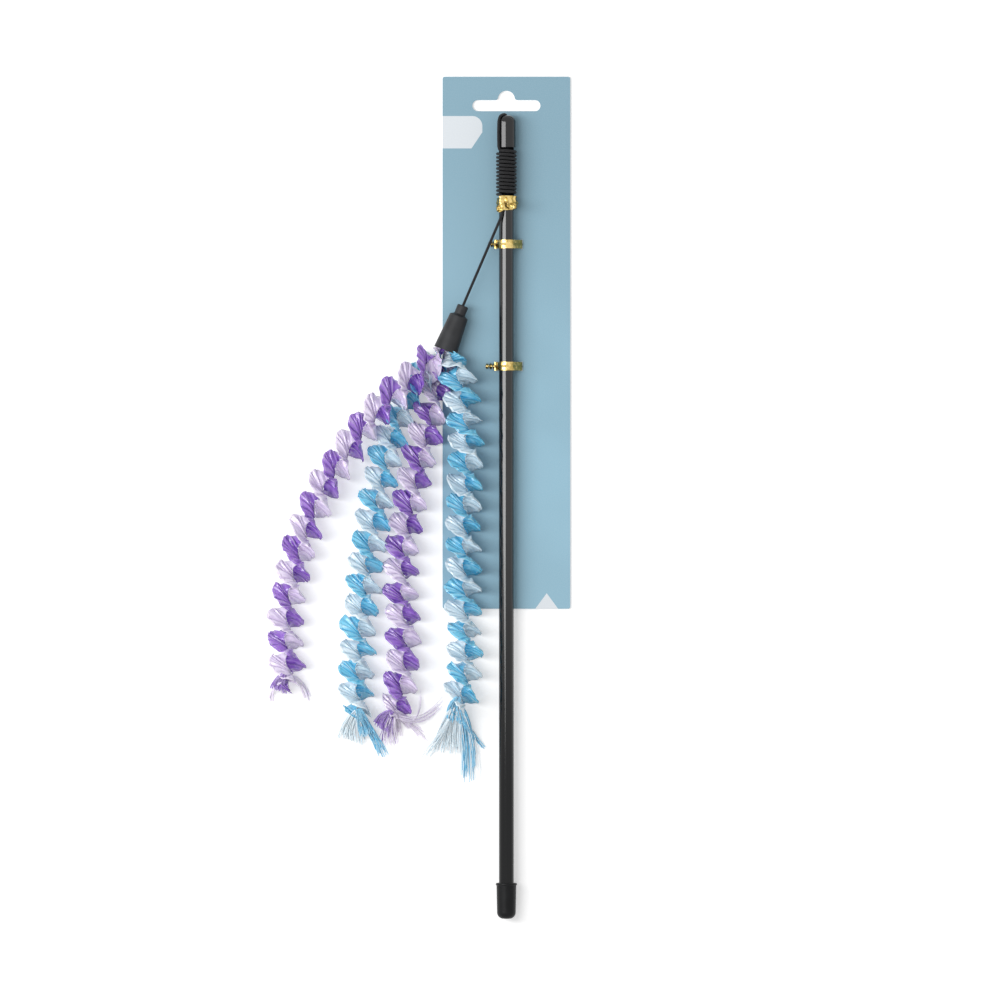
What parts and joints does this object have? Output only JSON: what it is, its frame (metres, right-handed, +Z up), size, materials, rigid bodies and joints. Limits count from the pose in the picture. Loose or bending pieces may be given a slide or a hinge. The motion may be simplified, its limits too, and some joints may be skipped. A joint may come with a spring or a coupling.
{
  "type": "cat teaser wand",
  "caption": "Cat toy: a thin capped rod with an elastic cord wound round its tip, a plastic bell and twisted two-tone ribbon tails, tied to a hang card.",
  "frame": {"origin": "on the table, straight under the middle of the card's hang slot", "axes": "+Y to the top of the card along the rod, +Z up from the table through the card's face, +X to the right; the ribbons lie on the -X side"},
  "size_m": [0.1425, 0.3954, 0.0178],
  "materials": {
    "card_blue": "matte",
    "rod_black": "gloss",
    "cap_black": "satin",
    "ferrule_black": "matte",
    "glue_clear": "satin",
    "cord_black": "matte",
    "tie_gold": "gloss",
    "tie_steel": "satin",
    "ribbon_purple": "satin",
    "ribbon_lilac": "satin",
    "ribbon_blue": "satin",
    "ribbon_pale_blue": "satin",
    "thread_white": "matte"
  },
  "bodies": {
    "wand": {"hang_card": "card_blue", "middle_tie_foil": "tie_gold", "middle_tie_wire": "tie_steel", "lower_tie_foil": "tie_gold", "lower_tie_wire": "tie_steel", "top_tie_foil": "tie_gold", "top_tie_wire": "tie_steel", "rod_tube": "rod_black", "tip_cap": "rod_black", "butt_cap": "cap_black", "tip_knot": "cord_black", "cord_lead": "cord_black", "cord_winding": "cord_black", "cord_tail": "cord_black"},
    "cord": {"cord_free": "cord_black"},
    "ferrule": {"ferrule_bell": "ferrule_black", "cord_end_knot": "cord_black", "glue_plug": "glue_clear", "strand_1_dark_ribbon_root": "ribbon_purple", "strand_1_light_ribbon_root": "ribbon_lilac", "strand_1_thread_root": "thread_white", "strand_2_dark_ribbon_root": "ribbon_blue", "strand_2_light_ribbon_root": "ribbon_pale_blue", "strand_2_thread_root": "thread_white", "strand_3_dark_ribbon_root": "ribbon_purple", "strand_3_light_ribbon_root": "ribbon_lilac", "strand_3_thread_root": "thread_white", "strand_4_dark_ribbon_root": "ribbon_blue", "strand_4_light_ribbon_root": "ribbon_pale_blue", "strand_4_thread_root": "thread_white"},
    "strand_1": {"strand_1_dark_ribbon": "ribbon_purple", "strand_1_light_ribbon": "ribbon_lilac", "strand_1_thread": "thread_white", "strand_1_fray": "ribbon_lilac"},
    "strand_2": {"strand_2_dark_ribbon": "ribbon_blue", "strand_2_light_ribbon": "ribbon_pale_blue", "strand_2_thread": "thread_white", "strand_2_fray": "ribbon_pale_blue"},
    "strand_3": {"strand_3_dark_ribbon": "ribbon_purple", "strand_3_light_ribbon": "ribbon_lilac", "strand_3_thread": "thread_white", "strand_3_fray": "ribbon_lilac"},
    "strand_4": {"strand_4_dark_ribbon": "ribbon_blue", "strand_4_light_ribbon": "ribbon_pale_blue", "strand_4_thread": "thread_white", "strand_4_fray": "ribbon_pale_blue"}
  },
  "joints": [
    {"name": "cord_swing", "type": "hinge", "parent": "wand", "child": "cord", "pos_m": [-0.00193, -0.05136, 0.00994], "axis": [0, 0, -1], "range_deg": [0, 70]},
    {"name": "ferrule_pivot", "type": "hinge", "parent": "cord", "child": "ferrule", "pos_m": [-0.01993, -0.09315, 0.007], "axis": [0, 0, -1], "range_deg": [0, 45]},
    {"name": "strand_1_lift", "type": "hinge", "parent": "ferrule", "child": "strand_1", "pos_m": [-0.0768, -0.16271, 0.0171], "axis": [-1, 0, 0], "range_deg": [0, 85]},
    {"name": "strand_2_lift", "type": "hinge", "parent": "ferrule", "child": "strand_2", "pos_m": [-0.056, -0.16271, 0.0171], "axis": [-1, 0, 0], "range_deg": [0, 85]},
    {"name": "strand_3_lift", "type": "hinge", "parent": "ferrule", "child": "strand_3", "pos_m": [-0.0384, -0.16271, 0.0171], "axis": [-1, 0, 0], "range_deg": [0, 85]},
    {"name": "strand_4_lift", "type": "hinge", "parent": "ferrule", "child": "strand_4", "pos_m": [-0.0194, -0.16271, 0.0171], "axis": [-1, 0, 0], "range_deg": [0, 85]}
  ]
}
